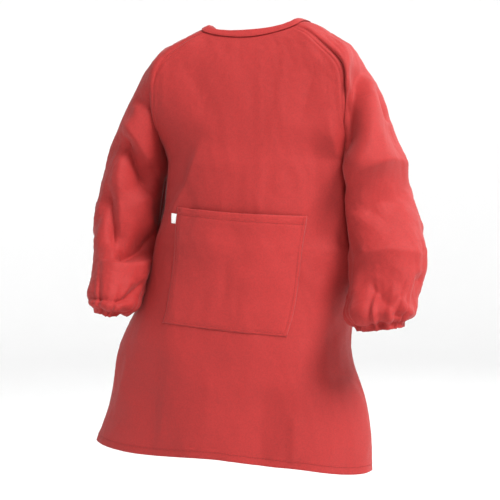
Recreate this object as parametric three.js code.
// Child's artist smock apron: closed front, raglan sleeves with elastic cuffs, a patch pocket, a bound
// neck, and a back in two halves that meet at the centre and close with a hook-and-loop tab at the neck.
// Millimetres. +Z is up, the front faces -Y and +X is the wearer's left.
// The origin is the centre of the neck opening, where the wearer's neck comes through.
import * as THREE from "three";

// ---- Driving dimensions ----
const clothThickness = 2; // every cloth panel is drawn this thick
const seamGap = 1; // between two panels that are sewn edge to edge
const armholeGap = 3; // the same where the sleeve's tube leaves the shoulder at an angle
const layerGap = 0.4; // between two layers that lie on each other
const bodyLength = 600; // neck to hem
const hemHalfWidth = 202;
const hemFrontDepth = 116;
const hemBackDepth = 106;
const waistHalfWidth = 137;
const waistHeight = -300;
const waistDepthShare = 0.3; // how far the waist's depth is on the way from the chest's to the hem's
const armpit = [128, 0, -190];
const chestFrontDepth = 94;
const chestBackDepth = 86;
const neckHalfWidth = 66;
const neckHeadroom = 4; // how far the back of the neckline stands over the sides
const neckDrop = 18; // how far the front of the neckline lies under the sides
const bodySwing = THREE.MathUtils.degToRad(3.9); // the skirt hangs this far off plumb, towards -X
const swingRamp = 110; // the swing grows over this height under the armpits
const bodyRoundness = 2.3; // exponent of the superellipse that a level cut through the body follows
const underarmStep = 3; // at the armpits the body's cloth lies this far inside the sleeve's seam
const neckStep = 72 / neckHalfWidth; // and this far at the neck, where a narrow neck turns the seams more
const hemTurn = 14;
const hemExtra = 1;
const backOpening = 3; // between the two back edges
const backSplit = -250; // the back swings open under this height

const bindingDepth = 9;
const bindingThickness = 1.1;
const bindingClearance = 0.9;
const pocketWidth = 176;
const pocketHeight = 160;
const pocketTop = -256;
const pocketCentre = 2;
const pocketTilt = THREE.MathUtils.degToRad(1);
const pocketThickness = 1.4;
const pocketBulge = 11; // room for a hand between the pocket and the front panel
const labelWidth = 6;
const labelHeight = 14;
const labelThickness = 0.8;
const labelDrop = 10; // from the pocket's top edge
const labelGap = 0.6; // the flat label stands this far off the curved front
const elasticWidth = 8;
const elasticThickness = 1;
const casingWidth = 14;
const casingThickness = 1;
const tabLength = 44;
const tabHeight = 22;
const tabThickness = 1.4;
const tabRoot = 8; // how far the tab's sewn end lies past the centre back
const tabBelowBinding = 4;
const patchLength = 28;
const patchHeight = 16;
const patchThickness = 1;
const patchInset = 3; // from the back's edge to the patches

// ---- Materials ----
const twill = new THREE.MeshStandardMaterial({ color: 0xc23b38, roughness: 0.9, metalness: 0 });
const twillTrim = new THREE.MeshStandardMaterial({ color: 0xcb4543, roughness: 0.85, metalness: 0 });
const elasticWeb = new THREE.MeshStandardMaterial({ color: 0xe9e6df, roughness: 0.8, metalness: 0 });
const labelTape = new THREE.MeshStandardMaterial({ color: 0xf4f3f1, roughness: 0.7, metalness: 0 });
const hookNylon = new THREE.MeshStandardMaterial({ color: 0xa82c2c, roughness: 0.6, metalness: 0 });
const loopNylon = new THREE.MeshStandardMaterial({ color: 0xb03535, roughness: 0.95, metalness: 0 });

const smock = new THREE.Group();

// ---- Helpers ----
const vector = (x, y, z) => new THREE.Vector3(x, y, z);
const { lerp, smoothstep, clamp } = THREE.MathUtils;

// A smooth curve through the keyed points, one key at each whole step of its parameter.
function keyed(points) {
  const curve = new THREE.CatmullRomCurve3(points.map((p) => vector(...p)), false, "catmullrom", 0.5);
  return (key) => curve.getPoint(clamp(key / (points.length - 1), 0, 1));
}

// Turns every triangle round if the closed geometry encloses a negative volume.
function facingOut(geometry) {
  const index = geometry.index;
  const place = geometry.attributes.position;
  const corner = [vector(), vector(), vector()];
  let volume = 0;
  for (let i = 0; i < index.count; i += 3) {
    corner.forEach((c, k) => c.fromBufferAttribute(place, index.getX(i + k)));
    volume += corner[0].dot(corner[1].clone().cross(corner[2]));
  }
  for (let i = 0; volume < 0 && i < index.count; i += 3) {
    const second = index.getX(i + 1);
    index.setX(i + 1, index.getX(i + 2));
    index.setX(i + 2, second);
  }
  geometry.computeVertexNormals();
  return geometry;
}

// The unit normal of surface(u, v), taken a little inside its edges.
function normalOf(surface, u, v) {
  const step = 0.004;
  const a = clamp(u, step, 1 - step);
  const b = clamp(v, step, 1 - step);
  const across = surface(a + step, b).sub(surface(a - step, b));
  const down = surface(a, b + step).sub(surface(a, b - step));
  return across.cross(down).normalize();
}

// A point of surface(u, v) whose edge is drawn back by half of `gap` where `sewn` names that edge.
function drawnBack(surface, u, v, sewn, gap) {
  const inner = 0.02;
  const point = surface(u, v);
  const pull = (target) => point.addScaledVector(target.sub(surface(u, v)).normalize(), gap / 2);
  if (u === 0 && sewn.includes("start")) pull(surface(inner, v));
  if (u === 1 && sewn.includes("end")) pull(surface(1 - inner, v));
  if (v === 0 && sewn.includes("top")) pull(surface(u, inner));
  if (v === 1 && sewn.includes("bottom")) pull(surface(u, 1 - inner));
  return point;
}

// A closed sheet of cloth. surface(u, v) is its mid surface for u, v in 0..1, and span(u, v) gives how far
// its two faces lie from that surface along the surface's normal.
function addSheet(name, material, surface, columns, rows, options = {}) {
  const { sewn = [], gap = seamGap, span = () => [-clothThickness / 2, clothThickness / 2] } = options;
  const geometry = new THREE.BoxGeometry(1, 1, 1, columns, rows, 1);
  const place = geometry.attributes.position;
  for (let i = 0; i < place.count; i++) {
    const u = clamp(place.getX(i) + 0.5, 0, 1);
    const v = clamp(0.5 - place.getY(i), 0, 1);
    const [low, high] = span(u, v);
    const offset = place.getZ(i) < 0 ? low : high;
    const point = drawnBack(surface, u, v, sewn, gap).addScaledVector(normalOf(surface, u, v), offset);
    place.setXYZ(i, point.x, point.y, point.z);
  }
  const mesh = new THREE.Mesh(facingOut(geometry), material);
  mesh.name = name;
  smock.add(mesh);
  return mesh;
}

// ---- Sleeve: keyed sections from the neck, over the shoulder, to the cuff ----
// Each section is an arch from the front seam over the ridge to the back seam. Past the armhole the arch
// closes into a tube whose two edges meet in the underarm seam.
const armholeKey = 4;
const sleeveSections = [
  { under: [neckHalfWidth - 8, -2, -8], ridge: [neckHalfWidth, 0, 0], halfDepth: 41, wrap: 80 },
  { under: [98, -1, -29], ridge: [108, 0, -13], halfDepth: 58, wrap: 92 },
  { under: [134, 0, -62], ridge: [136, 0, -26], halfDepth: 70, wrap: 105 },
  { under: [138, 0, -122], ridge: [148, 0, -36], halfDepth: 75, wrap: 124 },
  { under: armpit, ridge: [156, 0, -48], halfDepth: 72, wrap: 180 },
  { under: [137, 0, -216], ridge: [186, 0, -112], halfDepth: 68, wrap: 180 },
  { under: [145, -4, -254], ridge: [211, -3, -190], halfDepth: 64, wrap: 180 },
  { under: [151, -20, -304], ridge: [230, -16, -260], halfDepth: 61, wrap: 180 },
  { under: [156, -50, -352], ridge: [240, -50, -324], halfDepth: 57, wrap: 180 },
  { under: [158, -80, -390], ridge: [239, -84, -376], halfDepth: 51, wrap: 180 },
  { under: [170, -95, -413], ridge: [230, -97, -406], halfDepth: 30, wrap: 180 },
];
const cuffKey = sleeveSections.length - 1;
const underLine = keyed(sleeveSections.map((s) => s.under));
const ridgeLine = keyed(sleeveSections.map((s) => s.ridge));
const archLine = keyed(sleeveSections.map((s) => [s.halfDepth, s.wrap, 0]));

// A point of the left sleeve's mid surface: round runs from -1 at the front seam to 1 at the back seam.
function sleevePoint(key, round) {
  const under = underLine(key);
  const ridge = ridgeLine(key);
  const arch = archLine(key);
  const wrap = THREE.MathUtils.degToRad(Math.min(arch.y, 180));
  const rise = ridge.clone().sub(under).divideScalar(1 - Math.cos(wrap));
  const point = ridge.clone().addScaledVector(rise, Math.cos(round * wrap) - 1);
  point.y += arch.x * Math.sin(round * wrap);
  return point;
}
const mirrored = (point, side) => point.setX(point.x * side);
const sleeveSurface = (side, fromKey, toKey) => (u, v) =>
  mirrored(sleevePoint(lerp(fromKey, toKey, v), 2 * u - 1), side);

// ---- Body: rows from the neck to the hem ----
// A row runs from one seam over the centre line to the other seam. Down to the armpits its ends are the
// raglan seams, and under them they are the side seams.
const centreFront = keyed([
  [0, -52, -neckDrop],
  [0, -63, -38],
  [0, -75, -70],
  [0, -86, -122],
  [0, -chestFrontDepth, armpit[2]],
]);
const centreBack = keyed([
  [0, 46, neckHeadroom],
  [0, 58, -20],
  [0, 70, -60],
  [0, 79, -118],
  [0, chestBackDepth, armpit[2]],
]);
// How many degrees of the superellipse a row covers on each side of its centre.
const rowTurns = keyed([50, 55, 62, 72, 90].map((turn) => [turn, 0, 0]));
const skirtShape = keyed([
  [armpit[0] - underarmStep, chestFrontDepth, chestBackDepth],
  [
    waistHalfWidth,
    lerp(chestFrontDepth, hemFrontDepth, waistDepthShare),
    lerp(chestBackDepth, hemBackDepth, waistDepthShare),
  ],
  [hemHalfWidth, hemFrontDepth, hemBackDepth],
]);

// The skirt hangs a little off plumb: it shifts towards -X and turns with it, more and more under the armpits.
function swung(point) {
  const depth = Math.max(armpit[2] - point.z, 0);
  const turn = Math.tan(bodySwing) * smoothstep(depth, 0, swingRamp);
  point.z -= point.x * turn;
  point.x -= depth * turn;
  return point;
}

// A row's point for across in -1..1, between its end on +X, that end's mirror image and its centre.
const bow = 2 / bodyRoundness;
function rowPoint(across, end, centre, turnDegrees) {
  const turn = THREE.MathUtils.degToRad(turnDegrees);
  const side = Math.sin(Math.abs(across) * turn) ** bow / Math.sin(turn) ** bow;
  const last = Math.max(Math.cos(turn), 0) ** bow;
  const forward = (Math.max(Math.cos(across * turn), 0) ** bow - last) / (1 - last);
  return vector(
    Math.sign(across) * side * end.x,
    lerp(end.y, centre.y, forward),
    lerp(end.z, centre.z, forward),
  );
}

// The share across at which a row lies x from the centre line.
function acrossAt(x, endX, turnDegrees) {
  const turn = THREE.MathUtils.degToRad(turnDegrees);
  return (Math.sign(x) * Math.asin(Math.sin(turn) * (Math.abs(x) / endX) ** (1 / bow))) / turn;
}

// facing is -1 for the front and 1 for the back.
function raglanRow(facing, across, key) {
  const centre = facing < 0 ? centreFront(key) : centreBack(key);
  const end = sleevePoint(key, facing);
  end.x -= lerp(neckStep, underarmStep, smoothstep(key, 0, armholeKey));
  return rowPoint(across, end, centre, rowTurns(key).x);
}
function skirtKey(height) {
  return height > waistHeight
    ? (armpit[2] - height) / (armpit[2] - waistHeight)
    : 1 + (waistHeight - height) / (waistHeight + bodyLength);
}
function skirtRow(facing, across, height) {
  const shape = skirtShape(skirtKey(height));
  const depth = facing < 0 ? -shape.y : shape.z;
  return swung(rowPoint(across, vector(shape.x, 0, height), vector(0, depth, height), 90));
}

// ---- Front panel and back halves ----
const raglanRows = 12; // rows of the mesh over the armpits, the same in every piece that meets there
const rowHeight = 26;
const columnWidth = 19;
const skirtHeight = bodyLength + armpit[2];
const skirtRows = Math.round(skirtHeight / rowHeight);
const frontRows = raglanRows + skirtRows;
const frontColumns = Math.round((2 * hemHalfWidth) / columnWidth);
const backColumns = Math.round(hemHalfWidth / columnWidth);

// The panel's mid surface: across runs from -1 to 1, and rows count from the neckline to the hem.
function bodySurface(facing, across, row) {
  if (row < raglanRows) return raglanRow(facing, across, (row / raglanRows) * armholeKey);
  return skirtRow(facing, across, armpit[2] - ((row - raglanRows) / skirtRows) * skirtHeight);
}
// The turned-up hem makes the cloth's inner face stand in by hemExtra over the last hemTurn.
const overHem = (row) => ((frontRows - row) * skirtHeight) / skirtRows;
const hemShare = (row) => clamp(2 - overHem(row) / hemTurn, 0, 1);
const hemmed = (innerSign, row) =>
  innerSign < 0
    ? [-clothThickness / 2 - hemExtra * hemShare(row), clothThickness / 2]
    : [-clothThickness / 2, clothThickness / 2 + hemExtra * hemShare(row)];

const frontSurface = (u, v) => bodySurface(-1, 2 * u - 1, v * frontRows);

function buildFront() {
  addSheet("front_panel", twill, frontSurface, frontColumns, frontRows, {
    sewn: ["start", "end"],
    span: (u, v) => hemmed(1, v * frontRows),
  });
}

// Each back half is a fixed upper part and a lower flap that swings. Its u runs from the side seam to the
// opening at the centre back.
const splitRow = raglanRows + ((armpit[2] - backSplit) / skirtHeight) * skirtRows;
const yokeRows = Math.ceil(splitRow);
const flapRows = frontRows - Math.floor(splitRow);
const backSurface = (side, fromRow, toRow) => (u, v) => {
  const row = lerp(fromRow, toRow, v);
  const height = armpit[2] - ((row - raglanRows) / skirtRows) * skirtHeight;
  const key = (row / raglanRows) * armholeKey;
  const opening =
    row < raglanRows
      ? acrossAt(backOpening / 2, raglanRow(1, 1, key).x, rowTurns(key).x)
      : acrossAt(backOpening / 2, skirtShape(skirtKey(height)).x, 90);
  return bodySurface(1, side * lerp(1, opening, u), row);
};

function buildBack(side, label) {
  const flapRow = (v) => lerp(splitRow, frontRows, v);
  addSheet("back_yoke_" + label, twill, backSurface(side, 0, splitRow), backColumns, yokeRows, {
    sewn: ["start", "bottom"],
  });
  addSheet("back_flap_" + label, twill, backSurface(side, splitRow, frontRows), backColumns, flapRows, {
    sewn: ["start", "top"],
    span: (u, v) => hemmed(side, flapRow(v)),
  });
}

// ---- Sleeves: the shoulder part stays with the body, and the tube under it moves with the arm ----
const sleeveColumns = 24;
const sleeveRows = 20;
const inwardSpan = (side, from, thickness) =>
  side > 0 ? [from, from + thickness] : [-from - thickness, -from];

function buildSleeve(side, label) {
  const cap = sleeveSurface(side, 0, armholeKey);
  const tube = sleeveSurface(side, armholeKey, cuffKey);
  addSheet("shoulder_cap_" + label, twill, cap, sleeveColumns, raglanRows, {
    sewn: ["start", "end", "bottom"],
  });
  addSheet("sleeve_" + label, twill, tube, sleeveColumns, sleeveRows, {
    sewn: ["start", "end", "top"],
    gap: armholeGap,
  });
}

// Counts back from the cuff's edge along the underarm seam.
const cuffRun = underLine(cuffKey).distanceTo(underLine(cuffKey - 1));
const keyFromCuff = (distance) => cuffKey - distance / cuffRun;

// The cuff: an elastic inside the sleeve's end, held by a turned-in casing.
function buildCuff(side, label) {
  const elasticInset = clothThickness / 2 + layerGap;
  const casingInset = elasticInset + elasticThickness + layerGap;
  const elasticEdge = (casingWidth - elasticWidth) / 2;
  const elastic = sleeveSurface(side, keyFromCuff(elasticEdge + elasticWidth), keyFromCuff(elasticEdge));
  const casing = sleeveSurface(side, keyFromCuff(casingWidth), cuffKey);
  addSheet("cuff_elastic_" + label, elasticWeb, elastic, sleeveColumns, 2, {
    sewn: ["start", "end"],
    span: () => inwardSpan(side, elasticInset, elasticThickness),
  });
  addSheet("cuff_casing_" + label, twillTrim, casing, sleeveColumns, 3, {
    sewn: ["start", "end"],
    span: () => inwardSpan(side, casingInset, casingThickness),
  });
}

// ---- Neck binding: a strip folded over the neckline from one back edge round the front to the other ----
// Each piece gives the places of its top edge at these shares of its width, and which way its cloth runs down.
const backShares = [1, 0.75, 0.5, 0.3, 0.12, 0.02];
const sideShares = [0.9, 0.7, 0.5, 0.3, 0.1];
const frontShares = [0.95, 0.8, 0.6, 0.4, 0.2, 0.05];
function neckline() {
  const firstBit = 0.05;
  const piece = (surface, shares) =>
    shares.map((u) => {
      const edge = surface(u, 0);
      return { edge, down: surface(u, firstBit).sub(edge).normalize() };
    });
  const turnedOver = ({ edge, down }) => ({
    edge: mirrored(edge.clone(), -1),
    down: mirrored(down.clone(), -1),
  });
  const leftBack = piece(backSurface(1, 0, raglanRows), backShares);
  const leftSide = piece(sleeveSurface(1, 0, armholeKey), sideShares);
  const front = piece((u, v) => bodySurface(-1, 2 * u - 1, v * raglanRows), frontShares);
  const left = [...leftBack, ...leftSide];
  return [...left, ...front, ...left.toReversed().map(turnedOver)];
}
const neckPoints = neckline();
const neckEdge = keyed(neckPoints.map(({ edge }) => edge.toArray()));
const neckDown = keyed(neckPoints.map(({ down }) => down.toArray()));

// A point of the binding's mid surface: fold runs from the outer leg's edge over the neckline to the inner's.
function bindingSurface(u, fold) {
  const key = u * (neckPoints.length - 1);
  const radius = clothThickness / 2 + bindingClearance + bindingThickness / 2;
  const leg = bindingDepth - radius;
  const arc = Math.PI * radius;
  const edge = neckEdge(key);
  const down = neckDown(key).normalize();
  const step = 0.1;
  const along = neckEdge(key + step).sub(neckEdge(key - step)).normalize();
  const outward = down.clone().cross(along).normalize();
  const run = fold * (2 * leg + arc);
  const turn = clamp((run - leg) / radius, 0, Math.PI);
  const drop = Math.max(leg - run, run - leg - arc, 0);
  return edge
    .addScaledVector(outward, radius * Math.cos(turn))
    .addScaledVector(down, drop - radius * Math.sin(turn));
}

function buildBinding() {
  const columns = 2 * (neckPoints.length - 1);
  addSheet("neck_binding", twillTrim, bindingSurface, columns, 6, {
    span: () => [-bindingThickness / 2, bindingThickness / 2],
  });
}

// ---- Pocket and its label ----
// A point of the front skirt's mid surface over the flat place (x, z), before and after it swings.
function frontAt(x, z) {
  const shape = skirtShape(skirtKey(z));
  const share = clamp(Math.abs(x) / shape.x, 0, 1);
  return swung(vector(x, -shape.y * (1 - share ** bodyRoundness) ** (1 / bodyRoundness), z));
}
// Places (right, down) in millimetres from the middle of the pocket's top edge onto the front.
function onPocket(right, down) {
  const x = pocketCentre + right * Math.cos(pocketTilt) - down * Math.sin(pocketTilt);
  const z = pocketTop - right * Math.sin(pocketTilt) - down * Math.cos(pocketTilt);
  return frontAt(x, z);
}
const pocketSurface = (u, v) => onPocket((u - 0.5) * pocketWidth, v * pocketHeight);
const labelSurface = (u, v) =>
  onPocket(-pocketWidth / 2 - layerGap - labelWidth * (1 - u), labelDrop + v * labelHeight);

function buildPocket() {
  const seat = clothThickness / 2 + layerGap;
  addSheet("patch_pocket", twillTrim, pocketSurface, 14, 12, {
    span: (u, v) => {
      const lift = seat + pocketBulge * Math.sin(Math.PI * u) * Math.cos((v * Math.PI) / 2);
      return [-lift - pocketThickness, -lift];
    },
  });
  const labelSeat = clothThickness / 2 + labelGap;
  addSheet("pocket_label", labelTape, labelSurface, 1, 2, {
    span: () => [-labelSeat - labelThickness, -labelSeat],
  });
}

// ---- Neck closure: a tab sewn to the left back edge, which reaches over the right one ----
// A point of the back's mid surface at x, for a key down the raglan rows.
const backAt = (x, key) => raglanRow(1, acrossAt(x, raglanRow(1, 1, key).x, rowTurns(key).x), key);
// The key at which the centre back lies `depth` under the neckline.
function backKey(depth) {
  const step = 0.01;
  let key = 0;
  for (let run = 0; run < depth; key += step) run += centreBack(key + step).distanceTo(centreBack(key));
  return key;
}
const tabDrop = bindingDepth + tabBelowBinding;
function onBack(fromX, toX, drop, height) {
  const top = backKey(drop);
  const bottom = backKey(drop + height);
  return (u, v) => backAt(lerp(fromX, toX, u), lerp(top, bottom, v));
}

function buildClosure() {
  const face = clothThickness / 2 + layerGap;
  const hookFace = face + patchThickness + layerGap;
  const tabFace = hookFace + patchThickness + layerGap;
  const patchStart = -backOpening / 2 - patchInset;
  const patchDrop = tabDrop + (tabHeight - patchHeight) / 2;
  const tab = onBack(tabRoot, tabRoot - tabLength, tabDrop, tabHeight);
  const patch = onBack(patchStart, patchStart - patchLength, patchDrop, patchHeight);
  const rootShare = (tabRoot - patchStart) / tabLength;
  addSheet("neck_tab", twillTrim, tab, 10, 3, {
    span: (u) => {
      const lift = lerp(face, tabFace, smoothstep(u, 0, rootShare));
      return [-lift - tabThickness, -lift];
    },
  });
  addSheet("loop_patch", loopNylon, patch, 6, 2, { span: () => [-face - patchThickness, -face] });
  addSheet("hook_patch", hookNylon, patch, 6, 2, { span: () => [-hookFace - patchThickness, -hookFace] });
}

smock.name = "artist_smock_apron";
buildFront();
buildBack(1, "left");
buildBack(-1, "right");
buildSleeve(1, "left");
buildSleeve(-1, "right");
buildCuff(1, "left");
buildCuff(-1, "right");
buildBinding();
buildPocket();
buildClosure();

export default smock;
